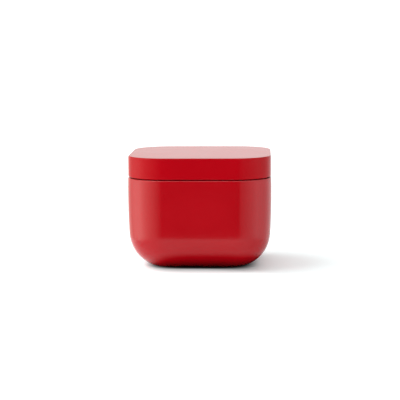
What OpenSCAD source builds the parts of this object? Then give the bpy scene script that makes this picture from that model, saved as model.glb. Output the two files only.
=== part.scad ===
// Desk ink pad: a weighted pot, a lift-out ink cartridge and a lift-off lid.
// The origin is on the floor, under the middle of the foot, with +Z up.

/* [Body] */
// Width of the body at its widest level
body_w = 60; // [50:0.5:90]
// Depth of the body at its widest level
body_d = 60; // [50:0.5:90]
// Height of the body from its base to its rim
body_h = 37.8; // [31:0.1:50]
// Radius that rolls the sides into the base
base_r = 15; // [12:0.5:18]
// How much larger the plan corner radius is than the base roll
corner_extra = 0.8; // [0.6:0.1:4]
// Radius of the slight outward bow of the sides
bow_r = 300; // [240:10:600]
// Height of the widest level above the base
bow_z = 31; // [26:0.5:34]
// Wall thickness of the body
wall = 2.4; // [2:0.1:3]
// Rounding of the outer edge of the rim
rim_r = 0.45; // [0.2:0.05:0.8]

/* [Foot] */
// Flat margin left round the foot on the base
foot_margin = 1; // [0.5:0.1:3]
// Plan corner radius of the foot
foot_corner_r = 5; // [3:0.5:8]
// Thickness of the foot
foot_t = 1.2; // [1:0.1:2]
// Depth of the recess that holds the foot
foot_recess = 0.5; // [0.3:0.1:0.8]
// Clearance round the foot in its recess
foot_gap = 0.15; // [0.1:0.05:0.4]
// Rounding of the lower edge of the foot
foot_edge_r = 0.25; // [0.1:0.05:0.4]

/* [Ballast] */
// Thickness of the ballast plate
ballast_t = 4; // [3:0.5:5]
// Height of the bosses under the ballast plate
boss_h = 2.5; // [2:0.1:4]
// Radius of each boss
boss_r = 3.2; // [2.8:0.1:4]
// Clearance from the ballast plate to the rolled wall
ballast_gap = 1.2; // [0.8:0.1:3]
// Distance from the plate edge to each screw axis
screw_in = 7; // [6:0.5:9]
// Radius of the screw thread and of its pilot hole
screw_r = 1.25; // [1:0.05:1.5]
// Radial clearance round each screw in the plate
screw_gap = 0.2; // [0.1:0.05:0.5]
// Radius of the screw head
screw_head_r = 2.3; // [2:0.1:2.6]
// Height of the screw head
screw_head_h = 1.5; // [1.2:0.1:2]
// Length of thread below the plate
screw_bite = 3; // [2:0.1:3.4]
// Length of each slot of the cross recess
drive_l = 2.8; // [2:0.1:3.2]
// Width of each slot of the cross recess
drive_w = 0.7; // [0.5:0.1:0.9]
// Depth of the cross recess
drive_depth = 0.9; // [0.5:0.1:1.1]

/* [Cartridge] */
// Height above the base of the ledges that carry the tray
tray_seat = 22; // [19:0.5:24]
// Clearance between the tray and the narrowest level of the pocket
tray_gap = 0.2; // [0.15:0.05:0.5]
// Wall thickness of the tray
tray_wall = 1.8; // [1.5:0.1:2.4]
// Floor thickness of the tray
tray_floor = 1.8; // [1.2:0.1:2.4]
// Rounding of the lower edge of the tray
tray_low_r = 1; // [0.4:0.1:1.4]
// Rounding of the top edge of the neck
neck_r = 0.4; // [0.2:0.1:0.6]
// Height of the spacer ribs on the tray floor
spacer_h = 0.8; // [0.5:0.1:1.5]
// Thickness of the ribs in the tray and in the body
rib_t = 1.6; // [1.2:0.1:2.4]
// How far each ledge rib reaches under the tray
rib_reach = 3.5; // [2.5:0.1:5]
// Distance from each corner axis to the ledge ribs beside it
rib_in = 2.5; // [1.5:0.1:4]
// Clearance round the soft fillings
soft_gap = 0.3; // [0.1:0.05:0.6]
// Thickness of the reservoir felt
felt_t = 6; // [4:0.5:8]
// Thickness of the pad cloth
cloth_t = 0.6; // [0.4:0.1:1]
// Height that the pad stands above the neck
pad_proud = 0.4; // [0.2:0.1:0.5]
// Rounding of the upper edge of the pad
pad_edge_r = 1.2; // [0.8:0.1:1.6]

/* [Pad frame] */
// Width of the frame around the pad
frame_w = 4; // [3:0.1:6]
// Thickness of the frame
frame_t = 1.6; // [1.3:0.1:2]
// Depth of the frame below the top of the neck
frame_drop = 0.4; // [0.2:0.1:0.8]
// Clearance between the frame and the tray
frame_gap = 0.12; // [0.08:0.02:0.3]
// Rounding of the upper edges of the frame
frame_r = 0.4; // [0.2:0.1:0.6]
// Length of each snap lug
lug_w = 8; // [5:0.5:12]
// Reach of each snap lug into the tray wall
lug_out = 0.6; // [0.4:0.1:0.9]
// Height of each snap lug
lug_h = 0.7; // [0.5:0.1:0.9]
// Clearance round each snap lug
lug_gap = 0.1; // [0.05:0.05:0.2]

/* [Lid] */
// Height of the lid
lid_h = 8.8; // [7.4:0.1:12]
// Thickness of the top of the lid
lid_top = 2; // [1.6:0.1:2.6]
// How far the side of the lid lies inside the rim of the body
lid_inset = 0.12; // [0:0.02:0.4]
// Open seam between the lid and the body
seam = 0.3; // [0.15:0.05:0.6]
// Clearance between the neck and the lid
neck_gap = 0.35; // [0.25:0.05:0.5]
// Rounding of the upper edge of the lid
lid_top_r = 0.5; // [0.3:0.1:1]
// Rounding of the lower edge of the lid
lid_low_r = 0.6; // [0.3:0.1:1]

/* [Seal] */
// Thickness of the liner under the top of the lid
liner_t = 1.2; // [1:0.1:1.6]
// Clearance round the liner
liner_gap = 0.15; // [0.1:0.05:0.3]
// Width of the gasket
gasket_w = 2; // [1.6:0.1:2.2]
// Height of the gasket
gasket_t = 1.3; // [1:0.1:1.4]
// Depth of the groove that holds the gasket
gasket_set = 0.5; // [0.3:0.1:0.6]
// Land between the edge of the liner and the gasket groove
liner_land = 0.6; // [0.5:0.1:0.9]
// Length of each bead that holds the liner
bead_w = 8; // [5:0.5:12]
// Reach of each bead from the lid wall
bead_out = 0.45; // [0.35:0.05:0.5]
// Height of each bead
bead_h = 0.5; // [0.3:0.1:0.6]

/* [Hidden] */
$fn = 96;
bow_fn = 720;
cut = 1;

shell_red = [0.67, 0.01, 0.08];
tray_red = [0.48, 0.02, 0.06];
ink_red = [0.60, 0.05, 0.05];

corner_r = base_r + corner_extra;
// Corner axes: every outline of the object turns about these four vertical lines
axis_x = body_w / 2 - corner_r;
axis_y = body_d / 2 - corner_r;

// The line through both arc centres, where the bow meets the base roll
meet_sin = (bow_z - base_r) / (bow_r - base_r);
meet_cos = sqrt(1 - meet_sin * meet_sin);
bow_cx = corner_r - bow_r;
roll_cx = bow_cx + (bow_r - base_r) * meet_cos;

// Derived places are rounded to 0.01 mm, so that faces which meet have equal numbers
function neat(v) = round(v * 100) / 100;
// Distance from the corner axis to the bowed side, for a level above the base
function side_x(z, inset = 0) = bow_cx + sqrt(pow(bow_r - inset, 2) - pow(z - bow_z, 2));
// The same on the rolled edge
function roll_x(z, inset) = roll_cx + sqrt(pow(base_r - inset, 2) - pow(base_r - z, 2));

base_z = foot_t - foot_recess;
rim_z = base_z + body_h;
floor_z = base_z + wall;

foot_x = neat(axis_x + roll_cx - foot_margin - foot_corner_r);
foot_y = neat(axis_y + roll_cx - foot_margin - foot_corner_r);

ballast_z = floor_z + boss_h;
ballast_x = neat(roll_x(wall + boss_h, wall) - ballast_gap);
screw_x = axis_x + ballast_x - screw_in;
screw_y = axis_y + ballast_x - screw_in;

seat_z = base_z + tray_seat;
tray_x = neat(min(side_x(tray_seat, wall), side_x(body_h, wall)) - tray_gap);
tray_in = tray_x - tray_wall;

lid_x = neat(side_x(body_h) - lid_inset);
lid_in = tray_x + neck_gap;
lid_z = rim_z + seam;
lid_top_z = lid_z + lid_h;
ceiling_z = lid_top_z - lid_top;
liner_z = ceiling_z - liner_t;
neck_z = liner_z + gasket_set - gasket_t;

felt_z = seat_z + tray_floor + spacer_h;
fill_x = tray_in - soft_gap;
frame_z = neck_z - frame_drop - frame_t;
frame_x = tray_in - frame_gap;
frame_in = frame_x - frame_w;
cloth_z = frame_z - cloth_t;
pad_x = frame_in - soft_gap;
pad_z = neck_z + pad_proud;
lug_z = frame_z + (frame_t - lug_h) / 2;

liner_x = lid_in - liner_gap;
groove_out = liner_x - liner_land;

// Sweeps a half profile, drawn outwards from the corner axes, round a square plan,
// and fills between the axes from z0 to z1
module round_plan(ax, ay, z0, z1) {
    if (z1 > z0)
        translate([-ax, -ay, z0]) cube([2 * ax, 2 * ay, z1 - z0]);
    for (side = [0:3]) {
        across = side % 2 == 0 ? ax : ay;
        along = side % 2 == 0 ? ay : ax;
        rotate([0, 0, 90 * side]) {
            translate([across, along, 0]) rotate_extrude(angle = 90) children();
            translate([across, along, 0]) rotate([90, 0, 0]) linear_extrude(2 * along) children();
        }
    }
}

module quarter(r, x, z, turn) {
    translate([x, z]) rotate(turn) intersection() {
        circle(r);
        square(r + cut);
    }
}

// Rectangle whose outer corners are rounded, or square where a radius is 0
module edged(x0, x1, z0, z1, low_r, top_r) {
    translate([x0, z0 + low_r]) square([x1 - x0, z1 - z0 - low_r - top_r]);
    if (low_r > 0) {
        translate([x0, z0]) square([x1 - low_r - x0, low_r]);
        quarter(low_r, x1 - low_r, z0 + low_r, -90);
    }
    if (top_r > 0) {
        translate([x0, z1 - top_r]) square([x1 - top_r - x0, top_r]);
        quarter(top_r, x1 - top_r, z1 - top_r, 0);
    }
}

// Half profile of the pot, a set distance inside its outer surface
module pot_profile(inset, top) {
    reach = corner_r + cut;
    far_x = roll_cx + reach * meet_cos;
    far_z = base_r - reach * meet_sin;
    intersection() {
        polygon([[0, base_r], [roll_cx, base_r], [far_x, far_z], [far_x, top], [0, top]]);
        translate([bow_cx, bow_z]) circle(bow_r - inset, $fn = bow_fn);
    }
    intersection() {
        polygon([[roll_cx, base_r], [far_x, far_z], [far_x, -cut], [roll_cx, -cut]]);
        translate([roll_cx, base_r]) circle(base_r - inset);
    }
    translate([0, inset]) square([roll_cx, base_r - inset]);
}

module rim_cap() {
    edge_x = side_x(body_h - rim_r);
    translate([0, body_h - rim_r]) square([edge_x - rim_r, rim_r]);
    quarter(rim_r, edge_x - rim_r, body_h - rim_r, 0);
}

module shell_profile() {
    translate([0, base_z]) difference() {
        union() {
            pot_profile(0, body_h - rim_r);
            rim_cap();
        }
        pot_profile(wall, body_h + cut);
    }
}

// Ledge rib, from the rolled wall up to the seat of the tray
module rib_profile() {
    translate([0, base_z]) intersection() {
        pot_profile(wall / 2, tray_seat);
        translate([tray_x - rib_reach, 0]) square([corner_r, tray_seat]);
    }
}

module ledge_ribs() {
    for (side = [0:3]) {
        across = side % 2 == 0 ? axis_x : axis_y;
        along = side % 2 == 0 ? axis_y : axis_x;
        for (place = [-1, 1])
            rotate([0, 0, 90 * side])
                translate([across, place * (along - rib_in) + rib_t / 2, 0])
                    rotate([90, 0, 0]) linear_extrude(rib_t) rib_profile();
    }
}

module at_screws() {
    for (x = [-screw_x, screw_x])
        for (y = [-screw_y, screw_y])
            translate([x, y, 0]) children();
}

module body_shell() {
    color(shell_red) difference() {
        union() {
            round_plan(axis_x, axis_y, base_z, floor_z) shell_profile();
            ledge_ribs();
            at_screws() translate([0, 0, base_z + wall / 2])
                cylinder(r = boss_r, h = wall / 2 + boss_h);
        }
        at_screws() translate([0, 0, ballast_z - screw_bite])
            cylinder(r = screw_r, h = screw_bite + cut);
        round_plan(foot_x, foot_y, base_z - cut, base_z + foot_recess)
            translate([0, base_z - cut]) square([foot_corner_r + foot_gap, foot_recess + cut]);
    }
}

module foot_pad() {
    color([0.05, 0.05, 0.05])
        round_plan(foot_x, foot_y, 0, foot_t) edged(0, foot_corner_r, 0, foot_t, foot_edge_r, 0);
}

module ballast_plate() {
    color([0.60, 0.61, 0.63]) difference() {
        round_plan(axis_x, axis_y, ballast_z, ballast_z + ballast_t)
            translate([0, ballast_z]) square([ballast_x, ballast_t]);
        at_screws() translate([0, 0, ballast_z - cut])
            cylinder(r = screw_r + screw_gap, h = ballast_t + 2 * cut);
    }
}

module pan_screw() {
    head_z = ballast_z + ballast_t;
    difference() {
        union() {
            translate([0, 0, ballast_z - screw_bite]) cylinder(r = screw_r, h = screw_bite + ballast_t);
            translate([0, 0, head_z]) cylinder(r = screw_head_r, h = screw_head_h);
        }
        for (turn = [0, 90])
            rotate([0, 0, turn])
                translate([-drive_l / 2, -drive_w / 2, head_z + screw_head_h - drive_depth])
                    cube([drive_l, drive_w, drive_depth + cut]);
    }
}

module ballast_screws() {
    color([0.75, 0.75, 0.77]) at_screws() pan_screw();
}

// Four pockets, or the lugs that snap into them, half way along the sides
module at_sides(x, z, w, out, h) {
    for (side = [0:3]) {
        across = side % 2 == 0 ? axis_x : axis_y;
        rotate([0, 0, 90 * side]) translate([across + x, -w / 2, z]) cube([out, w, h]);
    }
}

module tray_profile() {
    difference() {
        edged(0, tray_x, seat_z, neck_z, tray_low_r, neck_r);
        translate([-cut, seat_z + tray_floor]) square([tray_in + cut, neck_z - seat_z]);
    }
}

module ink_tray() {
    color(tray_red) difference() {
        union() {
            round_plan(axis_x, axis_y, seat_z, seat_z + tray_floor) tray_profile();
            for (place = [-1, 0, 1]) {
                translate([place * axis_x - rib_t / 2, -axis_y, seat_z + tray_floor])
                    cube([rib_t, 2 * axis_y, spacer_h]);
                translate([-axis_x, place * axis_y - rib_t / 2, seat_z + tray_floor])
                    cube([2 * axis_x, rib_t, spacer_h]);
            }
        }
        at_sides(tray_in - cut, lug_z - lug_gap, lug_w + 2 * lug_gap, lug_out + cut, lug_h + 2 * lug_gap);
    }
}

module reservoir_felt() {
    color(ink_red)
        round_plan(axis_x, axis_y, felt_z, felt_z + felt_t)
            translate([0, felt_z]) square([fill_x, felt_t]);
}

module ink_sponge() {
    low = felt_z + felt_t;
    color([0.70, 0.08, 0.07])
        round_plan(axis_x, axis_y, low, pad_z - cloth_t) {
            translate([0, low]) square([fill_x, cloth_z - low]);
            edged(0, pad_x - cloth_t, cloth_z, pad_z - cloth_t, 0, pad_edge_r - cloth_t);
        }
}

module pad_cloth() {
    color([0.63, 0.05, 0.06])
        round_plan(axis_x, axis_y, pad_z - cloth_t, pad_z)
            difference() {
                union() {
                    translate([0, cloth_z]) square([fill_x, cloth_t]);
                    edged(0, pad_x, cloth_z + cloth_t / 2, pad_z, 0, pad_edge_r);
                }
                translate([-cut, cloth_z - cut]) square([pad_x - cloth_t + cut, cut + cloth_t]);
                edged(-cut, pad_x - cloth_t, cloth_z, pad_z - cloth_t, 0, pad_edge_r - cloth_t);
            }
}

module pad_frame() {
    color(shell_red) {
        round_plan(axis_x, axis_y, 0, 0)
            difference() {
                edged(frame_in, frame_x, frame_z, frame_z + frame_t, 0, frame_r);
                translate([frame_in - cut, frame_z + frame_t - frame_r]) difference() {
                    square([frame_r + cut, frame_r + cut]);
                    translate([frame_r + cut, 0]) circle(frame_r);
                }
            }
        at_sides(frame_x - frame_w / 2, lug_z, lug_w, tray_in + lug_out - lug_gap - frame_x + frame_w / 2, lug_h);
    }
}

module lid_profile() {
    difference() {
        edged(0, lid_x, lid_z, lid_top_z, lid_low_r, lid_top_r);
        translate([-cut, lid_z - cut]) square([lid_in + cut, ceiling_z - lid_z + cut]);
    }
}

module lid_shell() {
    color(shell_red) {
        round_plan(axis_x, axis_y, ceiling_z, lid_top_z) lid_profile();
        at_sides(lid_in - bead_out, liner_z - bead_h, bead_w, bead_out + cut, bead_h);
    }
}

module lid_liner() {
    color([0.90, 0.88, 0.84])
        round_plan(axis_x, axis_y, liner_z, ceiling_z)
            translate([0, liner_z]) difference() {
                square([liner_x, liner_t]);
                translate([groove_out - gasket_w, -cut]) square([gasket_w, gasket_set + cut]);
            }
}

module lid_gasket() {
    color([0.85, 0.82, 0.78])
        round_plan(axis_x, axis_y, 0, 0)
            translate([groove_out - gasket_w, neck_z]) square([gasket_w, gasket_t]);
}

body_shell();
foot_pad();
ballast_plate();
ballast_screws();
ink_tray();
reservoir_felt();
ink_sponge();
pad_cloth();
pad_frame();
lid_shell();
lid_liner();
lid_gasket();
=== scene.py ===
import bpy
import math
from mathutils import Matrix, Vector


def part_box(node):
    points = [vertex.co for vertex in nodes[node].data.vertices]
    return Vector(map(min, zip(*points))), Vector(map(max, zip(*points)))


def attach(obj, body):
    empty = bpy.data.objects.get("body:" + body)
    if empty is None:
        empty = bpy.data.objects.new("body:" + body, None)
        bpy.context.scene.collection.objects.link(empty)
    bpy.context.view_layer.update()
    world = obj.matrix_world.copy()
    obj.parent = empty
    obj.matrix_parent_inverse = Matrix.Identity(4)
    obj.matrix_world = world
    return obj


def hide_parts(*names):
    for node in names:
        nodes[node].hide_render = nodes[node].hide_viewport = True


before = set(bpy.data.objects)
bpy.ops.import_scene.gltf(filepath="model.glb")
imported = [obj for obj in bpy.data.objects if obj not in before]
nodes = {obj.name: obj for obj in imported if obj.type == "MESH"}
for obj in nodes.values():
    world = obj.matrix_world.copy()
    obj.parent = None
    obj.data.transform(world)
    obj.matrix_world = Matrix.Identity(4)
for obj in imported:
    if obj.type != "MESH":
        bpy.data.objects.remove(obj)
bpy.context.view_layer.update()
mm = 0.001
print("frame loaded")


class Wire:
    # a socket's value, so that shader maths reads like Python
    def __init__(self, graph, socket):
        self.graph = graph
        self.socket = socket

    def maths(self, operation, other=None, third=None):
        inputs = {0: self}
        if other is not None:
            inputs[1] = other
        if third is not None:
            inputs[2] = third
        return self.graph.add("ShaderNodeMath", {"operation": operation}, inputs).out()

    def __add__(self, other):
        return self.maths("ADD", other)

    __radd__ = __add__

    def __sub__(self, other):
        return self.maths("SUBTRACT", other)

    def __rsub__(self, other):
        return self.maths("MULTIPLY_ADD", -1.0, other)

    def __mul__(self, other):
        return self.maths("MULTIPLY", other)

    __rmul__ = __mul__

    def __truediv__(self, other):
        return self.maths("DIVIDE", other)

    def __pow__(self, other):
        return self.maths("POWER", other)

    def __abs__(self):
        return self.maths("ABSOLUTE")

    def ramp(self, low, high):
        # a smooth step from 0 at the first value to 1 at the second
        settings = {"interpolation_type": "SMOOTHSTEP"}
        inputs = {"Value": self, "From Min": low, "From Max": high}
        return self.graph.add("ShaderNodeMapRange", settings, inputs).out("Result")


class Placed:
    # a node that was added, whose outputs are asked for by name
    def __init__(self, graph, node):
        self.graph = graph
        self.node = node

    def out(self, name=0):
        return Wire(self.graph, self.node.outputs[name])


class Graph:
    def __init__(self, tree):
        self.tree = tree
        tree.nodes.clear()

    def add(self, kind, settings=None, inputs=None):
        node = self.tree.nodes.new(kind)
        for name, value in (settings or {}).items():
            if name == "stops":
                self.stops(node.color_ramp, value)
            else:
                setattr(node, name, value)
        for name, value in (inputs or {}).items():
            if isinstance(value, Wire):
                self.tree.links.new(value.socket, node.inputs[name])
            else:
                node.inputs[name].default_value = value
        return Placed(self, node)

    def stops(self, ramp, stops):
        while len(ramp.elements) > 1:
            ramp.elements.remove(ramp.elements[-1])
        ramp.elements[0].position = stops[0][0]
        ramp.elements[0].color = stops[0][1]
        for place, colour in stops[1:]:
            ramp.elements.new(place).color = colour

    def place(self):
        return self.add("ShaderNodeTexCoord").out("Object")

    def parts(self, vector):
        split = self.add("ShaderNodeSeparateXYZ", None, {"Vector": vector})
        return split.out("X"), split.out("Y"), split.out("Z")

    def stretched(self, scale):
        return self.add("ShaderNodeMapping", None, {"Vector": self.place(), "Scale": scale}).out()

    def noise(self, scale, detail=2.0, roughness=0.5, vector=None):
        inputs = {"Vector": vector or self.place(), "Scale": scale}
        inputs.update({"Detail": detail, "Roughness": roughness})
        return self.add("ShaderNodeTexNoise", None, inputs).out()

    def cells(self, scale):
        inputs = {"Vector": self.place(), "Scale": scale}
        return self.add("ShaderNodeTexVoronoi", {"feature": "F1"}, inputs).out()

    def mix(self, factor, a, b):
        return self.add("ShaderNodeMix", {"data_type": "RGBA"}, {0: factor, 6: a, 7: b}).out(2)

    def bump(self, height, strength, distance):
        inputs = {"Height": height, "Strength": strength, "Distance": distance}
        return self.add("ShaderNodeBump", None, inputs).out()

    def surface(self, inputs):
        shader = self.add("ShaderNodeBsdfPrincipled", None, inputs)
        self.add("ShaderNodeOutputMaterial", None, {"Surface": shader.out()})


def newMaterial(name):
    material = bpy.data.materials.new(name)
    material.use_nodes = True
    return material, Graph(material.node_tree)


def grey(level):
    return (level, level, level, 1.0)


# in each finish, scales are per metre, and reliefs are depths in mm
lacquer = {"red": (0.385, 0.0002, 0.0048, 1.0), "deepRed": (0.370, 0.0002, 0.0044, 1.0),
           "roughness": 0.15, "unevenness": 0.05, "bodyGloss": 0.27, "lidGloss": 0.08,
           "cloudScale": 60.0, "peelScale": 1400.0, "speckScale": 420.0, "relief": 0.012}


def satinLacquer(name, gloss):
    # baked satin paint: a faint cloudiness, a few dull specks and a very fine orange peel
    material, graph = newMaterial(name)
    cloud = graph.noise(lacquer["cloudScale"], 3.0)
    peel = graph.noise(lacquer["peelScale"])
    speck = graph.noise(lacquer["speckScale"], 4.0, 0.6).ramp(0.70, 0.78)
    graph.surface({
        "Base Color": graph.mix(cloud.ramp(0.35, 0.65), lacquer["deepRed"], lacquer["red"]),
        "Roughness": (cloud - 0.5 + speck) * lacquer["unevenness"] + lacquer["roughness"],
        "Specular IOR Level": gloss,
        "Normal": graph.bump(peel, 0.12, lacquer["relief"] * mm),
    })
    return material


moulded = {"gloss": 0.30, "flowScale": 45.0, "relief": 0.03,
           "tray": {"colour": (0.30, 0.0035, 0.012, 1.0), "dark": (0.25, 0.003, 0.010, 1.0),
                    "roughness": 0.40, "grain": 2200.0},
           "frame": {"colour": (0.50, 0.0025, 0.010, 1.0), "dark": (0.44, 0.002, 0.009, 1.0),
                     "roughness": 0.34, "grain": 2600.0}}


def mouldedPlastic(name, figures):
    # injection moulding: fine spark-eroded grain and slow flow marks
    material, graph = newMaterial(name)
    flow = graph.noise(moulded["flowScale"], 3.0, 0.6)
    pits = graph.noise(figures["grain"])
    graph.surface({
        "Base Color": graph.mix(flow.ramp(0.3, 0.7), figures["dark"], figures["colour"]),
        "Roughness": (flow - 0.5) * 0.12 + (pits - 0.5) * 0.10 + figures["roughness"],
        "Specular IOR Level": moulded["gloss"],
        "Normal": graph.bump(pits, 0.25, moulded["relief"] * mm),
    })
    return material


weave = {"wet": (0.43, 0.004, 0.010, 1.0), "dry": (0.56, 0.012, 0.020, 1.0),
         "gapShade": (0.16, 0.001, 0.004, 1.0), "roughness": 0.42, "dryRoughness": 0.30,
         "gloss": 0.28, "sheen": 0.02, "pitch": 0.42, "wanderScale": 300.0,
         "fibreScale": 5200.0, "poolScale": 85.0, "relief": 0.12}


def inkedCloth():
    # plain weave soaked in red ink, with painted shade between the threads, and darker in pools
    material, graph = newMaterial("inkedCloth")
    x, y, _ = graph.parts(graph.place())
    wander = graph.noise(weave["wanderScale"]) * 0.5
    perThread = math.pi / (weave["pitch"] * mm)
    sinU, sinV = (x * perThread + wander).maths("SINE"), (y * perThread + wander).maths("SINE")
    over = sinU * sinV * 0.5
    thread = (abs(sinU) * (over + 0.5)).maths("MAXIMUM", abs(sinV) * (0.5 - over))
    fibre = graph.noise(weave["fibreScale"])
    pool = graph.noise(weave["poolScale"], 4.0, 0.55)
    soaked = graph.mix(pool.ramp(0.36, 0.66), weave["wet"], weave["dry"])
    dryness = pool.ramp(0.34, 0.7) * weave["dryRoughness"]
    graph.surface({
        # painted shade: the gaps between the threads are darkened
        "Base Color": graph.mix(thread.ramp(0.1, 0.75), weave["gapShade"], soaked),
        "Roughness": dryness + (fibre - 0.5) * 0.15 + weave["roughness"],
        "Specular IOR Level": weave["gloss"],
        "Sheen Weight": weave["sheen"],
        "Normal": graph.bump(thread + fibre * 0.25, 0.8, weave["relief"] * mm),
    })
    return material


felt = {"ink": (0.20, 0.002, 0.006, 1.0), "pale": (0.34, 0.006, 0.012, 1.0),
        "gapShade": (0.13, 0.001, 0.004, 1.0), "roughness": 0.72, "sheen": 0.25,
        "blotchScale": 110.0, "relief": 0.15,
        "fibreScales": ((900.0, 4200.0, 2500.0), (4200.0, 900.0, 2500.0))}


def fibreFelt():
    # matted fibres, ink-dark, drawn out in two directions, with painted shade where they lie
    # lowest
    material, graph = newMaterial("inkFelt")
    fibres = [graph.noise(1.0, 3.0, 0.6, graph.stretched(scale)) for scale in felt["fibreScales"]]
    mat = fibres[0].maths("MAXIMUM", fibres[1])
    blotch = graph.noise(felt["blotchScale"], 3.0)
    graph.surface({
        # painted shade between the fibres, where the relief is lowest
        "Base Color": graph.mix(mat.ramp(0.4, 0.75), felt["gapShade"],
                                graph.mix(blotch.ramp(0.3, 0.7), felt["ink"], felt["pale"])),
        "Roughness": mat * 0.2 + felt["roughness"],
        "Sheen Weight": felt["sheen"],
        "Normal": graph.bump(mat, 0.9, felt["relief"] * mm),
    })
    return material


foam = {"poreShade": (0.16, 0.002, 0.004, 1.0), "wall": (0.52, 0.02, 0.022, 1.0), "roughness": 0.6,
        "smallScale": 1500.0, "largeScale": 620.0, "relief": 0.25}


def openFoam():
    # open cells of two sizes, with painted shade in the sunken pores
    material, graph = newMaterial("inkFoam")
    small, large = graph.cells(foam["smallScale"]), graph.cells(foam["largeScale"])
    wall = small.ramp(0.15, 0.7) * 0.6 + large.ramp(0.1, 0.7) * 0.4
    graph.surface({
        # painted shade: the sunken pores are darkened
        "Base Color": graph.mix(wall, foam["poreShade"], foam["wall"]),
        "Roughness": wall * 0.25 + foam["roughness"],
        "Normal": graph.bump(wall, 0.9, foam["relief"] * mm),
    })
    return material


steel = {"bright": (0.50, 0.51, 0.53, 1.0), "oiled": (0.62, 0.61, 0.59, 1.0),
         "scratched": (0.38, 0.385, 0.40, 1.0), "roughness": 0.27,
         "scratchScale": (60.0, 5200.0, 900.0), "bloomScale": 70.0, "relief": 0.02}


def groundSteel():
    # surface-ground plate: long fine scratches one way, and a faint oil bloom
    material, graph = newMaterial("groundSteel")
    scratch = graph.noise(1.0, 4.0, 0.65, graph.stretched(steel["scratchScale"]))
    bloom = graph.noise(steel["bloomScale"], 3.0)
    plain = graph.mix(bloom.ramp(0.3, 0.7), steel["bright"], steel["oiled"])
    graph.surface({
        "Base Color": graph.mix(scratch.ramp(0.3, 0.7), steel["scratched"], plain),
        "Metallic": 1.0,
        "Roughness": (scratch - 0.5) * 0.3 + bloom * 0.1 + steel["roughness"],
        "Normal": graph.bump(scratch, 0.25, steel["relief"] * mm),
    })
    return material


zinc = {"blue": (0.66, 0.69, 0.74, 1.0), "yellow": (0.74, 0.71, 0.60, 1.0), "roughness": 0.2,
        "patchScale": 700.0, "grainScale": 5000.0, "relief": 0.01}


def zincPlate():
    # bright zinc, bluish with yellowed patches
    material, graph = newMaterial("zincPlate")
    patch = graph.noise(zinc["patchScale"], 3.0)
    grain = graph.noise(zinc["grainScale"])
    graph.surface({
        "Base Color": graph.mix(patch.ramp(0.35, 0.7), zinc["blue"], zinc["yellow"]),
        "Metallic": 1.0,
        "Roughness": patch * 0.16 + (grain - 0.5) * 0.1 + zinc["roughness"],
        "Normal": graph.bump(grain, 0.2, zinc["relief"] * mm),
    })
    return material


rubber = {"black": (0.012, 0.012, 0.013, 1.0), "dusty": (0.035, 0.034, 0.034, 1.0),
          "roughness": 0.62, "dustScale": 240.0, "pitch": 1.1, "relief": 0.12}


def footRubber():
    # black rubber with rows of low dimples for grip
    material, graph = newMaterial("footRubber")
    x, y, _ = graph.parts(graph.place())
    perDimple = math.pi / (rubber["pitch"] * mm)
    dimple = abs((x * perDimple).maths("SINE") * (y * perDimple).maths("SINE")).ramp(0.55, 0.9)
    dust = graph.noise(rubber["dustScale"], 4.0, 0.6)
    graph.surface({
        "Base Color": graph.mix(dust.ramp(0.45, 0.75), rubber["black"], rubber["dusty"]),
        "Roughness": dust * 0.2 + rubber["roughness"],
        "Normal": graph.bump(dimple + dust * 0.15, 0.5, rubber["relief"] * mm),
    })
    return material


milky = {"clean": (0.80, 0.80, 0.78, 1.0), "stained": (0.80, 0.36, 0.36, 1.0),
         "roughness": 0.36, "stain": 0.35, "stainFrom": 17.0, "stainTo": 22.5, "stainScale": 130.0,
         "flowScale": 70.0, "grainScale": 1500.0, "relief": 0.02, "depth": 0.4}


def milkyPlastic():
    # unpigmented polypropylene: waxy, with a faint ghost of ink above the pad
    material, graph = newMaterial("milkyPlastic")
    x, y, _ = graph.parts(graph.place())
    pad = 1 - abs(x).maths("MAXIMUM", abs(y)).ramp(milky["stainFrom"] * mm, milky["stainTo"] * mm)
    ghost = pad * graph.noise(milky["stainScale"], 4.0, 0.6).ramp(0.42, 0.75) * milky["stain"]
    flow = graph.noise(milky["flowScale"])
    grain = graph.noise(milky["grainScale"])
    graph.surface({
        "Base Color": graph.mix(ghost, milky["clean"], milky["stained"]),
        "Roughness": (flow - 0.5) * 0.12 + milky["roughness"],
        "Specular IOR Level": 0.5,
        "Subsurface Weight": 0.15,
        "Subsurface Scale": milky["depth"] * mm,
        "Normal": graph.bump(grain, 0.2, milky["relief"] * mm),
    })
    return material


silicone = {"cool": (0.62, 0.63, 0.62, 1.0), "warm": (0.73, 0.72, 0.69, 1.0), "roughness": 0.38,
            "cloudScale": 160.0, "grainScale": 2600.0, "relief": 0.015, "depth": 0.5}


def sealSilicone():
    material, graph = newMaterial("sealSilicone")
    cloud = graph.noise(silicone["cloudScale"], 3.0)
    grain = graph.noise(silicone["grainScale"])
    graph.surface({
        "Base Color": graph.mix(cloud.ramp(0.3, 0.7), silicone["cool"], silicone["warm"]),
        "Roughness": cloud * 0.15 + silicone["roughness"],
        "Subsurface Weight": 0.2,
        "Subsurface Scale": silicone["depth"] * mm,
        "Normal": graph.bump(grain, 0.15, silicone["relief"] * mm),
    })
    return material


finishes = {
    "bodyShell": satinLacquer("bodyLacquer", lacquer["bodyGloss"]),
    "lidShell": satinLacquer("lidLacquer", lacquer["lidGloss"]),
    "footPad": footRubber(),
    "ballastPlate": groundSteel(),
    "ballastScrews": zincPlate(),
    "inkTray": mouldedPlastic("trayPlastic", moulded["tray"]),
    "padFrame": mouldedPlastic("framePlastic", moulded["frame"]),
    "reservoirFelt": fibreFelt(),
    "inkSponge": openFoam(),
    "padCloth": inkedCloth(),
    "lidLiner": milkyPlastic(),
    "lidGasket": sealSilicone(),
}
print("finishes mixed")

cornerAxis = 14.2  # every rounded square turns its corners about upright lines here
spare = 1.0  # how far a cutter runs past what it cuts
sunk = 0.2  # how far an added part starts inside what it joins
mergeGap = 0.002


def freshStart():
    if bpy.context.object and bpy.context.object.mode != "OBJECT":
        bpy.ops.object.mode_set(mode="OBJECT")
    bpy.ops.object.select_all(action="DESELECT")


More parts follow.
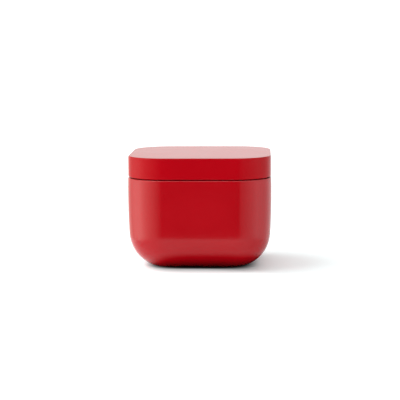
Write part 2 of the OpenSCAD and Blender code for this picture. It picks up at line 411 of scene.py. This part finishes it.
def pick(piece):
    freshStart()
    piece.select_set(True)
    bpy.context.view_layer.objects.active = piece


def levels(node):
    # half width, lowest and highest level of a node, in mm
    low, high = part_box(node)
    return high.x / mm, low.z / mm, high.z / mm


class Pen:
    # draws a half profile outwards from an upright axis, edge by edge and arc by arc
    def __init__(self, name, x, z, axis=cornerAxis):
        freshStart()
        self.axis = axis
        self.x, self.z = x, z
        start = ((axis + x) * mm, axis * mm, z * mm)
        bpy.ops.mesh.primitive_plane_add(size=mm, location=start)
        bpy.ops.object.transform_apply(location=True)
        self.piece = bpy.context.object
        self.piece.name = name
        bpy.ops.object.mode_set(mode="EDIT")
        bpy.ops.mesh.select_mode(type="VERT")
        bpy.ops.mesh.merge(type="CENTER")

    def to(self, x, z):
        step = ((x - self.x) * mm, 0, (z - self.z) * mm)
        bpy.ops.mesh.extrude_region_move(TRANSFORM_OT_translate={"value": step})
        self.x, self.z = x, z

    def arc(self, x, z, degrees, steps):
        # about (x, z), anticlockwise when positive
        turn = math.radians(degrees)
        centre = ((self.axis + x) * mm, self.axis * mm, z * mm)
        bpy.ops.mesh.spin(steps=steps, angle=turn, center=centre, axis=(0, 1, 0))
        dx, dz = self.x - x, self.z - z
        self.x = x + dx * math.cos(turn) - dz * math.sin(turn)
        self.z = z + dx * math.sin(turn) + dz * math.cos(turn)

    def around(self, steps=24):
        # four quarter turns with a straight side after each
        bpy.ops.mesh.select_all(action="SELECT")
        reach = self.axis * mm
        for quarter in range(4):
            turn = math.radians(90 * quarter)
            c, s = round(math.cos(turn)), round(math.sin(turn))
            centre = (reach * (c - s), reach * (s + c), 0)
            bpy.ops.mesh.spin(steps=steps, angle=-math.pi / 2, center=centre, axis=(0, 0, 1))
            run = (-2 * reach * c, -2 * reach * s, 0)
            if reach > 0:
                bpy.ops.mesh.extrude_region_move(TRANSFORM_OT_translate={"value": run})
        return closeUp(self.piece)


def closeUp(piece):
    # merges doubles, fills the flat middles and turns every face outwards
    bpy.ops.mesh.select_all(action="SELECT")
    bpy.ops.mesh.remove_doubles(threshold=mergeGap * mm)
    bpy.ops.mesh.fill_holes(sides=0)
    bpy.ops.mesh.select_all(action="SELECT")
    bpy.ops.mesh.normals_make_consistent(inside=False)
    bpy.ops.object.mode_set(mode="OBJECT")
    return piece


def block(name, low, high, edge=0.0, segments=3):
    # a box between two corners, its edges bevelled
    freshStart()
    middle = [(a + b) / 2 * mm for a, b in zip(low, high)]
    size = [(b - a) * mm for a, b in zip(low, high)]
    bpy.ops.mesh.primitive_cube_add(size=1, location=middle, scale=size)
    piece = bpy.context.object
    piece.name = name
    bpy.ops.object.transform_apply(location=True, rotation=True, scale=True)
    if edge > 0:
        bpy.ops.object.mode_set(mode="EDIT")
        bpy.ops.mesh.select_all(action="SELECT")
        bpy.ops.mesh.bevel(offset=edge * mm, segments=segments, affect="EDGES")
        bpy.ops.object.mode_set(mode="OBJECT")
    return piece


def post(name, x, y, z0, z1, radius, edge=0.0):
    # an upright round post, its top edge bevelled
    freshStart()
    bpy.ops.mesh.primitive_cylinder_add(vertices=48, radius=radius * mm, depth=(z1 - z0) * mm,
                                        location=(x * mm, y * mm, (z0 + z1) / 2 * mm))
    piece = bpy.context.object
    piece.name = name
    bpy.ops.object.transform_apply(location=True, rotation=True, scale=True)
    if edge > 0:
        bpy.ops.object.mode_set(mode="EDIT")
        bpy.ops.mesh.select_mode(type="FACE")
        bpy.ops.mesh.select_all(action="DESELECT")
        bpy.ops.object.mode_set(mode="OBJECT")
        for face in piece.data.polygons:
            face.select = face.normal.z > 0.9
        bpy.ops.object.mode_set(mode="EDIT")
        bpy.ops.mesh.bevel(offset=edge * mm, segments=3, affect="EDGES")
        bpy.ops.object.mode_set(mode="OBJECT")
    return piece


def turned(piece, quarter):
    # a copy with its own mesh, turned about the middle by quarter turns
    pick(piece)
    bpy.ops.object.duplicate()
    copy = bpy.context.object
    copy.data.transform(Matrix.Rotation(math.radians(90 * quarter), 4, "Z"))
    return copy


def fourTimes(piece):
    return together([piece] + [turned(piece, quarter) for quarter in (1, 2, 3)])


def together(pieces):
    pick(pieces[0])
    for piece in pieces:
        piece.select_set(True)
    bpy.ops.object.join()
    return pieces[0]


def joined(piece, other, operation="UNION"):
    # a Boolean that is applied, and its other part thrown away
    pick(piece)
    bpy.ops.object.modifier_add(type="BOOLEAN")
    change = piece.modifiers[-1]
    change.operation = operation
    change.solver = "EXACT"
    change.object = other
    bpy.ops.object.modifier_apply(modifier=change.name)
    bpy.data.objects.remove(other)
    return piece


def smooth(piece, angle=30):
    pick(piece)
    bpy.ops.object.shade_smooth_by_angle(angle=math.radians(angle))
    bpy.ops.object.modifier_add(type="WEIGHTED_NORMAL")
    piece.modifiers[-1].keep_sharp = True
    bpy.ops.object.modifier_apply(modifier=piece.modifiers[-1].name)
    return piece


def finished(piece, node, body, material):
    piece.data.materials.clear()
    piece.data.materials.append(material)
    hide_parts(node)
    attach(piece, body)
    return piece


# the pot has a rolled base, faintly bowed sides and an open rim
pot = {
    "baseRoll": 15.0, "bow": 300.0, "bowHeight": 31.0, "wall": 2.4, "rimEdge": 0.45,
    "rimInnerEdge": 0.3, "ribWidth": 1.6, "ribIn": 2.5, "ribReach": 3.5, "ribEnd": 18.0,
    "ribEdge": 0.2, "bossRadius": 3.2, "bossHeight": 2.5, "bossEdge": 0.3, "boreRadius": 1.05,
    "screwIn": 13.88, "bite": 3.0, "recess": 0.5, "recessGap": 0.15,
}


def potFigures():
    # where the bow and the roll have their centres, and the angle at which the arcs meet
    bowX = levels("body_shell")[0] - cornerAxis - pot["bow"]
    meet = math.asin((pot["bowHeight"] - pot["baseRoll"]) / (pot["bow"] - pot["baseRoll"]))
    rollX = bowX + (pot["bow"] - pot["baseRoll"]) * math.cos(meet)
    return bowX, rollX, math.degrees(meet)


def potOutside(pen, inset, top):
    # up the roll and the bow to a level, at a set depth inside the outer surface
    bowX, rollX, meet = potFigures()
    base = levels("body_shell")[1]
    rollZ, bowZ = base + pot["baseRoll"], base + pot["bowHeight"]
    pen.to(rollX, base + inset)
    pen.arc(rollX, rollZ, 90 - meet, 20)
    upTo = math.degrees(math.asin((top - bowZ) / (pot["bow"] - inset)))
    pen.arc(bowX, bowZ, meet + upTo, 14)


def makeRibs():
    # eight ribs that carry the tray, cut to the inside of the rolled wall
    base = levels("body_shell")[1]
    trayHalf, seat = levels("ink_tray")[:2]
    place = cornerAxis - pot["ribIn"]
    bars = []
    for y in (-place, place):
        low = (trayHalf - pot["ribReach"], y - pot["ribWidth"] / 2, base + sunk)
        high = (cornerAxis + pot["ribEnd"], y + pot["ribWidth"] / 2, seat)
        bars.append(block("ledgeRibs", low, high, pot["ribEdge"], 2))
    ribs = fourTimes(together(bars))
    pen = Pen("potCore", 0, base + pot["wall"] / 2)
    potOutside(pen, pot["wall"] / 2, seat + spare)
    pen.to(0, seat + spare)
    return joined(ribs, pen.around(), "INTERSECT")


def makePot(material):
    base, rim = levels("body_shell")[1:]
    bowX, rollX, meet = potFigures()
    rollZ, bowZ = base + pot["baseRoll"], base + pot["bowHeight"]
    wall, edge, inner = pot["wall"], pot["rimEdge"], pot["rimInnerEdge"]
    pen = Pen("bodyShell", 0, base)
    potOutside(pen, 0, rim - edge)
    lean = math.degrees(math.asin((rim - edge - bowZ) / (pot["bow"] - edge)))
    pen.arc(pen.x - edge * math.cos(math.radians(lean)), rim - edge, 90 - lean, 6)
    insideBow = pot["bow"] - wall
    lean = math.degrees(math.asin((rim - inner - bowZ) / insideBow))
    edgeX = bowX + (insideBow + inner) * math.cos(math.radians(lean))
    pen.to(edgeX, pen.z)
    pen.arc(edgeX, pen.z - inner, 90 + lean, 5)
    pen.arc(bowX, bowZ, -meet - lean, 10)
    pen.arc(rollX, rollZ, meet - 90, 14)
    pen.to(0, pen.z)
    shell = pen.around()
    joined(shell, makeRibs())
    place, bossTop = pot["screwIn"], base + wall + pot["bossHeight"]
    boss = post("boss", place, place, base + wall / 2, bossTop, pot["bossRadius"], pot["bossEdge"])
    joined(shell, fourTimes(boss))
    bore = post("bore", place, place, bossTop - pot["bite"], bossTop + spare, pot["boreRadius"])
    joined(shell, fourTimes(bore), "DIFFERENCE")
    cut = Pen("footRecess", 0, base - spare, footAxis())
    radius = foot["cornerRadius"] + pot["recessGap"]
    cut.to(radius, base - spare)
    cut.to(radius, base + pot["recess"])
    cut.to(0, base + pot["recess"])
    joined(shell, cut.around(12), "DIFFERENCE")
    return finished(smooth(shell), "body_shell", "body", material)


# the foot is a rubber pad let into the base
foot = {"cornerRadius": 5.0, "edge": 0.25, "topEdge": 0.1, "hollow": 0.15, "rimWidth": 1.6,
        "rimSlope": 0.2}


def footAxis():
    return levels("foot_pad")[0] - foot["cornerRadius"]


def makeFoot(material):
    low, high = levels("foot_pad")[1:]
    radius, edge = foot["cornerRadius"], foot["edge"]
    inside = radius - foot["rimWidth"]
    pen = Pen("footPad", 0, low + foot["hollow"], footAxis())
    pen.to(inside - foot["rimSlope"], low + foot["hollow"])
    pen.to(inside, low)
    pen.to(radius - edge, low)
    pen.arc(radius - edge, low + edge, 90, 4)
    pen.to(radius, high - foot["topEdge"])
    pen.to(radius - foot["topEdge"], high)
    pen.to(0, high)
    piece = pen.around(12)
    return finished(smooth(piece), "foot_pad", "body", material)


# the ballast is a steel plate screwed to four bosses
ballast = {"edge": 0.35, "holeRadius": 1.45}


def slab(name, half, low, high, edge):
    # a rounded square with the same rounding above and below
    radius = half - cornerAxis
    pen = Pen(name, 0, low)
    pen.to(radius - edge, low)
    pen.arc(radius - edge, low + edge, 90, 4)
    pen.to(radius, high - edge)
    pen.arc(radius - edge, high - edge, 90, 4)
    pen.to(0, high)
    return pen.around(12)


def makePlate(material):
    half, low, high = levels("ballast_plate")
    plate = slab("ballastPlate", half, low, high, ballast["edge"])
    place = pot["screwIn"]
    hole = post("hole", place, place, low - spare, high + spare, ballast["holeRadius"])
    joined(plate, fourTimes(hole), "DIFFERENCE")
    return finished(smooth(plate), "ballast_plate", "body", material)


screw = {"headRadius": 2.3, "crown": 0.08, "flat": 1.2, "dome": 0.3, "shoulder": 1.8,
         "headEdge": 0.5, "lowEdge": 0.1, "shaftRadius": 1.25, "plain": 3.6, "pitch": 0.6,
         "threadDepth": 0.3, "point": 0.5, "pointHeight": 0.2,
         "crossHalf": 1.4, "crossWidth": 0.7, "recess": 0.9}


def makeScrews(material):
    # one pan-head screw turned on its own axis, then a cross cut in its head
    half, low, high = levels("ballast_screws")
    seat = levels("ballast_plate")[2]
    head, shaft, pitch = screw["headRadius"], screw["shaftRadius"], screw["pitch"]
    shoulder, edge = screw["shoulder"], screw["headEdge"]
    pen = Pen("ballastScrews", 0, high, 0)
    pen.to(screw["flat"], high - screw["crown"])
    pen.to(shoulder, high - screw["dome"])
    pen.arc(shoulder, high - screw["dome"] - edge, -90, 6)
    pen.to(head, seat + screw["lowEdge"])
    pen.to(head - screw["lowEdge"], seat)
    pen.to(shaft, seat)
    crest = seat - screw["plain"]
    pen.to(shaft - screw["threadDepth"] / 2, crest)
    while crest - pitch > low + screw["pointHeight"]:
        pen.to(shaft, crest - pitch / 2)
        pen.to(shaft - screw["threadDepth"], crest - pitch)
        crest -= pitch
    pen.to(shaft - screw["point"], low)
    pen.to(0, low)
    piece = pen.around(8)
    along, across = screw["crossHalf"], screw["crossWidth"] / 2
    for x, y in ((along, across), (across, along)):
        slot = block("cross", (-x, -y, high - screw["recess"]), (x, y, high + spare))
        joined(piece, slot, "DIFFERENCE")
    place = half - head
    piece.data.transform(Matrix.Translation((place * mm, place * mm, 0)))
    return finished(smooth(fourTimes(piece)), "ballast_screws", "body", material)


# the cartridge is a moulded tray with felt, sponge, woven pad and the pad's frame
tray = {"wall": 1.8, "floor": 1.8, "lowEdge": 1.0, "neckEdge": 0.4, "innerEdge": 0.3,
        "floorCorner": 0.8, "spacerWidth": 1.6, "spacerHeight": 0.8, "spacerEdge": 0.15,
        "spacerShort": 1.5, "slotWidth": 8.2, "slotDepth": 0.6, "slotLow": 41.95,
        "slotHigh": 42.85}


def makeTray(material):
    half, low, high = levels("ink_tray")
    out = half - cornerAxis
    inside, inner, corner = out - tray["wall"], low + tray["floor"], tray["floorCorner"]
    pen = Pen("inkTray", 0, low)
    pen.to(out - tray["lowEdge"], low)
    pen.arc(out - tray["lowEdge"], low + tray["lowEdge"], 90, 6)
    pen.to(out, high - tray["neckEdge"])
    pen.arc(out - tray["neckEdge"], high - tray["neckEdge"], 90, 5)
    pen.to(inside + tray["innerEdge"], high)
    pen.arc(inside + tray["innerEdge"], high - tray["innerEdge"], 90, 4)
    pen.to(inside, inner + corner)
    pen.arc(inside - corner, inner + corner, -90, 5)
    pen.to(0, inner)
    piece = pen.around()
    reach, across = cornerAxis + inside - tray["spacerShort"], tray["spacerWidth"] / 2
    bars = []
    for place in (-cornerAxis, 0, cornerAxis):
        start = (place - across, -reach, inner - sunk)
        end = (place + across, reach, inner + tray["spacerHeight"])
        bars.append(block("spacer", start, end, tray["spacerEdge"], 2))
    rows = together(bars)
    columns = turned(rows, 1)
    joined(piece, joined(rows, columns))
    side = cornerAxis + inside
    slot = block("slot", (side - spare, -tray["slotWidth"] / 2, tray["slotLow"]),
                 (side + tray["slotDepth"], tray["slotWidth"] / 2, tray["slotHigh"]))
    joined(piece, fourTimes(slot), "DIFFERENCE")
    return finished(smooth(piece), "ink_tray", "cartridge", material)


padFrame = {"gap": 0.12, "width": 4.0, "edge": 0.4, "lugWidth": 8.0, "lugHeight": 0.7,
            "lugIn": 1.0, "lugEdge": 0.15}


def frameOut():
    return levels("ink_tray")[0] - cornerAxis - tray["wall"] - padFrame["gap"]


def makeFrame(material):
    half, low, high = levels("pad_frame")
    out, edge = frameOut(), padFrame["edge"]
    inside = out - padFrame["width"]
    pen = Pen("padFrame", inside + edge, low)
    pen.to(out - edge, low)
    pen.arc(out - edge, low + edge, 90, 4)
    pen.to(out, high - edge)
    pen.arc(out - edge, high - edge, 90, 4)
    pen.to(inside + edge, high)
    pen.arc(inside + edge, high - edge, 90, 4)
    pen.to(inside, low + edge)
    pen.arc(inside + edge, low + edge, 90, 4)
    piece = pen.around()
    middle, across, rise = (low + high) / 2, padFrame["lugWidth"] / 2, padFrame["lugHeight"] / 2
    lug = block("lug", (cornerAxis + out - padFrame["lugIn"], -across, middle - rise),
                (half, across, middle + rise), padFrame["lugEdge"], 2)
    joined(piece, fourTimes(lug))
    return finished(smooth(piece), "pad_frame", "cartridge", material)


reservoir = {"edge": 0.5}


def makeFelt(material):
    piece = slab("reservoirFelt", *levels("reservoir_felt"), reservoir["edge"])
    return finished(smooth(piece), "reservoir_felt", "cartridge", material)


sponge = {"edge": 0.5}


def makeSponge(material):
    # stops at the underside of the pad
    half, low = levels("ink_sponge")[:2]
    piece = slab("inkSponge", half, low, levels("pad_cloth")[1], sponge["edge"])
    return finished(smooth(piece), "ink_sponge", "cartridge", material)


padFace = {"brim": 0.6, "edge": 1.1, "frameGap": 0.45, "crown": 0.25, "crownAbove": 0.6,
           "crownPower": 0.6, "topSlack": 0.2, "voxel": 0.7, "heldAbove": 0.2,
           "pressure": 4.0, "steps": 20, "swellCap": 0.25}


def makePad(material):
    # a brim under the frame and a raised cushion through it, then let the cushion swell
    half, low, high = levels("pad_cloth")
    radius, edge, crown = half - cornerAxis, padFace["edge"], padFace["crown"]
    raised = frameOut() - padFrame["width"] - padFace["frameGap"]
    brim = low + padFace["brim"]
    pen = Pen("padCloth", 0, low)
    pen.to(radius, low)
    pen.to(radius, brim)
    pen.to(raised, brim)
    pen.to(raised, high - edge - crown)
    pen.arc(raised - edge, high - edge - crown, 90, 5)
    pen.to(0, high - crown)
    piece = pen.around(12)
    pick(piece)
    bpy.ops.object.modifier_add(type="REMESH")
    piece.modifiers[-1].mode = "VOXEL"
    piece.modifiers[-1].voxel_size = padFace["voxel"] * mm
    bpy.ops.object.modifier_apply(modifier=piece.modifiers[-1].name)
    before = [vertex.co.copy() for vertex in piece.data.vertices]
    held = (brim + padFace["heldAbove"]) * mm  # up to here the frame holds the brim
    swell(piece, held)
    crownHalf, cap = (cornerAxis + raised) * mm, padFace["swellCap"] * mm
    for vertex, start in zip(piece.data.vertices, before):
        move = vertex.co - start
        if move.length > cap:
            move *= cap / move.length
        if start.z < held:
            move *= 0.0
        vertex.co = start + move
        if start.z > (brim + padFace["crownAbove"]) * mm:  # foam pushes the middle up
            rise = (1 - (start.x / crownHalf) ** 2) * (1 - (start.y / crownHalf) ** 2)
            vertex.co.z += crown * mm * max(rise, 0.0) ** padFace["crownPower"]
            vertex.co.z = min(vertex.co.z, (high + padFace["topSlack"]) * mm)
    pick(piece)
    bpy.ops.object.modifier_add(type="SUBSURF")
    piece.modifiers[-1].levels = 1
    piece.modifiers[-1].render_levels = 1
    bpy.ops.object.modifier_apply(modifier=piece.modifiers[-1].name)
    bpy.ops.object.shade_smooth()
    return finished(piece, "pad_cloth", "cartridge", material)


def swell(piece, heldLevel):
    # blows the cushion up as cloth, with the brim pinned
    held = piece.vertex_groups.new(name="held")
    for vertex in piece.data.vertices:
        if vertex.co.z < heldLevel:
            held.add([vertex.index], 1.0, "REPLACE")
    bpy.ops.object.modifier_add(type="CLOTH")
    cloth = piece.modifiers[-1]
    cloth.settings.use_pressure = True
    cloth.settings.uniform_pressure_force = padFace["pressure"]
    cloth.settings.effector_weights.gravity = 0.0
    cloth.settings.vertex_group_mass = "held"
    cloth.point_cache.frame_start = 1
    cloth.point_cache.frame_end = padFace["steps"]
    for step in range(padFace["steps"]):
        bpy.context.scene.frame_set(step + 1)
    pick(piece)
    bpy.ops.object.modifier_apply(modifier=cloth.name)
    bpy.context.scene.frame_set(1)
    piece.vertex_groups.clear()


# the lid is a shallow cap with a liner, and a gasket that seals on the tray's neck
lid = {"topEdge": 0.5, "lowEdge": 0.6, "innerEdge": 0.3, "wallIn": 13.41, "roof": 2.0,
       "beadWidth": 8.0, "beadOut": 0.45, "beadIn": 0.6, "beadLow": 43.9, "beadHigh": 44.4,
       "beadEdge": 0.18}


def makeLid(material):
    half, low, high = levels("lid_shell")
    out, inside, roof = half - cornerAxis, lid["wallIn"], high - lid["roof"]
    pen = Pen("lidShell", 0, high)
    pen.to(out - lid["topEdge"], high)
    pen.arc(out - lid["topEdge"], high - lid["topEdge"], -90, 6)
    pen.to(out, low + lid["lowEdge"])
    pen.arc(out - lid["lowEdge"], low + lid["lowEdge"], -90, 6)
    pen.to(inside + lid["innerEdge"], low)
    pen.arc(inside + lid["innerEdge"], low + lid["innerEdge"], -90, 4)
    pen.to(inside, roof)
    pen.to(0, roof)
    piece = pen.around()
    side = cornerAxis + inside
    across = lid["beadWidth"] / 2
    bead = block("bead", (side - lid["beadOut"], -across, lid["beadLow"]),
                 (side + lid["beadIn"], across, lid["beadHigh"]), lid["beadEdge"])
    joined(piece, fourTimes(bead))
    return finished(smooth(piece), "lid_shell", "lid", material)


liner = {"grooveIn": 10.66, "grooveOut": 12.66, "grooveDepth": 0.5, "grooveEdge": 0.1,
         "edge": 0.15}


def makeLiner(material):
    half, low, high = levels("lid_liner")
    out, edge, lead = half - cornerAxis, liner["edge"], liner["grooveEdge"]
    pen = Pen("lidLiner", 0, low)
    pen.to(liner["grooveIn"] - lead, low)
    pen.to(liner["grooveIn"], low + lead)
    pen.to(liner["grooveIn"], low + liner["grooveDepth"])
    pen.to(liner["grooveOut"], low + liner["grooveDepth"])
    pen.to(liner["grooveOut"], low + lead)
    pen.to(liner["grooveOut"] + lead, low)
    pen.to(out - edge, low)
    pen.arc(out - edge, low + edge, 90, 3)
    pen.to(out, high - edge)
    pen.arc(out - edge, high - edge, 90, 3)
    pen.to(0, high)
    piece = pen.around(16)
    return finished(smooth(piece), "lid_liner", "lid", material)


gasket = {"lip": 0.55, "edge": 0.15}


def makeGasket(material):
    low, high = levels("lid_gasket")[1:]
    inside, out = liner["grooveIn"], liner["grooveOut"]
    lip, edge = gasket["lip"], gasket["edge"]
    pen = Pen("lidGasket", inside + lip, low)
    pen.to(out - lip, low)
    pen.arc(out - lip, low + lip, 90, 6)
    pen.to(out, high - edge)
    pen.arc(out - edge, high - edge, 90, 3)
    pen.to(inside + edge, high)
    pen.arc(inside + edge, high - edge, 90, 3)
    pen.to(inside, low + lip)
    pen.arc(inside + lip, low + lip, 90, 6)
    piece = pen.around(16)
    return finished(smooth(piece), "lid_gasket", "lid", material)


makePot(finishes["bodyShell"])
makeFoot(finishes["footPad"])
makePlate(finishes["ballastPlate"])
makeScrews(finishes["ballastScrews"])
print("pot, foot and ballast made")
makeTray(finishes["inkTray"])
makeFelt(finishes["reservoirFelt"])
makeSponge(finishes["inkSponge"])
makeFrame(finishes["padFrame"])
makePad(finishes["padCloth"])
print("cartridge made")
makeLid(finishes["lidShell"])
makeLiner(finishes["lidLiner"])
makeGasket(finishes["lidGasket"])
print("lid made")

standIns = {
    "body_shell": "bodyShell", "foot_pad": "footPad", "ballast_plate": "ballastPlate",
    "ballast_screws": "ballastScrews", "ink_tray": "inkTray",
    "reservoir_felt": "reservoirFelt", "ink_sponge": "inkSponge", "pad_cloth": "padCloth",
    "pad_frame": "padFrame", "lid_shell": "lidShell", "lid_liner": "lidLiner",
    "lid_gasket": "lidGasket",
}
for name, node in nodes.items():
    node.data.materials.clear()
    node.data.materials.append(finishes[standIns[name]])

# place and lens in mm, angles in radians
camera = {"place": (24.4, -584.1, 100.4), "down": 0.1250, "turn": 0.0426, "roll": -0.0052,
          "lens": 123.7, "sensor": 36.0, "farthest": 100.0}


def makeCamera():
    data = bpy.data.cameras.new("camera")
    data.lens = camera["lens"]
    data.sensor_width = camera["sensor"]
    data.clip_end = camera["farthest"]
    eye = bpy.data.objects.new("camera", data)
    eye.location = [v * mm for v in camera["place"]]
    tilt = Matrix.Rotation(math.pi / 2 - camera["down"], 4, "X")
    aim = Matrix.Rotation(camera["turn"], 4, "Z") @ tilt
    eye.rotation_euler = (aim @ Matrix.Rotation(camera["roll"], 4, "Z")).to_euler()
    bpy.context.scene.collection.objects.link(eye)
    bpy.context.scene.camera = eye


makeCamera()

# light, floor and surroundings: angles in degrees, reaches in mm
studio = {
    "keyPower": 2.0, "keyHeight": 38.0, "keyFrom": -88.0, "keySize": 70.0,
    "fill": 0.50, "fillRight": -0.16, "fillBack": 0.10, "fillUp": 0.60, "backdrop": 1.2,
    "panels": ((-180, 1.12), (-124, 1.25), (-84, 4.6), (-54, 2.6), (-28, 1.1), (-10, 0.0),
               (17, 0.0), (22, 0.55), (48, 1.35), (76, 2.3), (112, 1.3), (180, 1.12)),
    "warmth": (1.0, 0.96, 0.88, 1.0), "warmFrom": 0.1, "warmFull": -0.4,
    "overhead": 3.2, "overheadRight": -1.4, "overheadFrom": 0.28, "overheadFull": 0.63,
    "overheadFront": 0.3,
}
floor = {
    "tone": 0.95, "redNearPot": 0.86, "redFrom": 40.0, "redTo": 80.0, "corner": 3.5,
    # painted light: how strongly the floor glows, on its lit and its shaded side
    "paintedGlow": 0.45, "shadedGlow": 0.40, "litTowards": (-0.6, -0.8), "litOver": 15.0,
    "paintedShadowTone": 0.06,
    "size": 12000.0, "nearRadius": 90.0, "layerGap": 0.02,
    # how far the painted shadow under the base reaches on each disc
    "seen": {"from": 14.0, "to": 20.0, "width": 0.76, "shift": 0.0, "fade": None},
    "bounced": {"from": 26.5, "to": 32.5, "width": 1.12, "shift": 3.5, "fade": 60.0},
}


def floorMaterial(name, paintedShadow):
    # a pale sweep with a painted shadow under the overhang of the base, and painted light: a glow
    # that is stronger towards the light
    material, graph = newMaterial(name)
    x, y, _ = graph.parts(graph.place())
    power = floor["corner"]
    across = abs(x - paintedShadow["shift"] * mm) * paintedShadow["width"]
    reach = (across ** power + abs(y) ** power) ** (1 / power)  # a rounded square
    clear = reach.ramp(paintedShadow["from"] * mm, paintedShadow["to"] * mm)
    tone = floor["tone"]
    nearTone = (floor["redNearPot"], tone, tone, 1.0)  # a painted cool tint that cancels the red light the pot bounces onto it
    away = reach.ramp(floor["redFrom"] * mm, floor["redTo"] * mm)
    pale = graph.mix(away, nearTone, grey(tone))
    # painted light: the floor glows fully towards the light, less on the shaded side and not in
    # the painted shadow
    right, back = floor["litTowards"]
    lit = (x * right + y * back).ramp(0.0, floor["litOver"] * mm)
    paintedGlow = graph.mix(lit, grey(floor["shadedGlow"]), grey(1.0))
    sockets = {
        # painted shadow: near black under the overhang of the base
        "Base Color": graph.mix(clear, grey(floor["paintedShadowTone"]), pale),
        "Roughness": 0.9,
        "Specular IOR Level": 0.0,
        "Emission Color": graph.mix(clear, grey(0.0), paintedGlow),
        "Emission Strength": floor["paintedGlow"],
    }
    if paintedShadow["fade"]:
        sockets["Alpha"] = 1 - reach.ramp(paintedShadow["fade"] * mm, floor["nearRadius"] * mm)
    graph.surface(sockets)
    return material


def makeFloor():
    seen = floorMaterial("paleFloor", floor["seen"])
    bounced = floorMaterial("bounceFloor", floor["bounced"])
    gap = floor["layerGap"] * mm
    bpy.ops.mesh.primitive_plane_add(size=floor["size"] * mm, location=(0, 0, -2 * gap))
    farFloor = bpy.context.object
    farFloor.name = "farFloor"
    farFloor.data.materials.append(seen)
    farFloor.visible_glossy = False  # the walls would mirror it far in front of them
    discs = []
    for name, z, material in (("nearFloor", 0.0, seen), ("bounceFloor", -gap, bounced)):
        bpy.ops.mesh.primitive_circle_add(vertices=128, radius=floor["nearRadius"] * mm,
                                          fill_type="NGON", location=(0, 0, z))
        disc = bpy.context.object
        disc.name = name
        disc.data.materials.append(material)
        discs.append(disc)
    nearFloor, bounceFloor = discs
    # the camera sees only the first disc; the second lights the pot and shows in its gloss, and
    # its wider painted shadow darkens the pot's reflection and bounce light near its base
    nearFloor.visible_diffuse = nearFloor.visible_glossy = nearFloor.visible_shadow = False
    bounceFloor.visible_camera = False


def makeKey():
    data = bpy.data.lights.new("keyLight", "SUN")
    data.energy = studio["keyPower"]
    data.angle = math.radians(studio["keySize"])
    key = bpy.data.objects.new("keyLight", data)
    azimuth = math.radians(studio["keyFrom"])
    height = math.radians(studio["keyHeight"])
    flat = math.cos(height)
    towards = Vector((math.sin(azimuth) * flat, -math.cos(azimuth) * flat, math.sin(height)))
    key.rotation_euler = towards.to_track_quat("Z", "Y").to_euler()
    key.visible_glossy = False
    bpy.context.scene.collection.objects.link(key)


def makeWorld():
    # white behind, dark towards the front, and panels of light at both sides and above
    world = bpy.data.worlds.new("studio")
    bpy.context.scene.world = world
    world.use_nodes = True
    graph = Graph(world.node_tree)
    rays = graph.add("ShaderNodeLightPath")
    glossy, seen = rays.out("Is Glossy Ray"), rays.out("Is Camera Ray")
    x, y, z = graph.parts(graph.add("ShaderNodeTexCoord").out("Generated"))
    turn = x.maths("ARCTAN2", y * -1.0) / (2 * math.pi) + 0.5  # 0.5 is the front
    brightest = max(level for angle, level in studio["panels"])
    stops = [(angle / 360 + 0.5, grey(level / brightest)) for angle, level in studio["panels"]]
    around = graph.add("ShaderNodeValToRGB", {"stops": stops}, {0: turn}).out()
    above = z.ramp(studio["overheadFrom"], studio["overheadFull"])
    front = (y * -1.0).ramp(-studio["overheadFront"], studio["overheadFront"])
    overhead = above * front * (x * studio["overheadRight"] + studio["overhead"])
    panels = around * brightest + overhead
    fill = x * studio["fillRight"] + y * studio["fillBack"] + z * studio["fillUp"] + studio["fill"]
    lighting = glossy * panels + (1 - glossy) * fill.maths("MAXIMUM", 0.0)
    left = glossy * x.ramp(studio["warmFrom"], studio["warmFull"])
    shade = graph.add("ShaderNodeBackground", None, {
        "Color": graph.mix(left, grey(1.0), studio["warmth"]),
        "Strength": seen * studio["backdrop"] + (1 - seen) * lighting})
    graph.add("ShaderNodeOutputWorld", None, {"Surface": shade.out()})


makeFloor()
makeKey()
makeWorld()
bpy.context.scene.view_settings.view_transform = "Standard"
bpy.context.scene.view_settings.look = "None"
print("stage set")
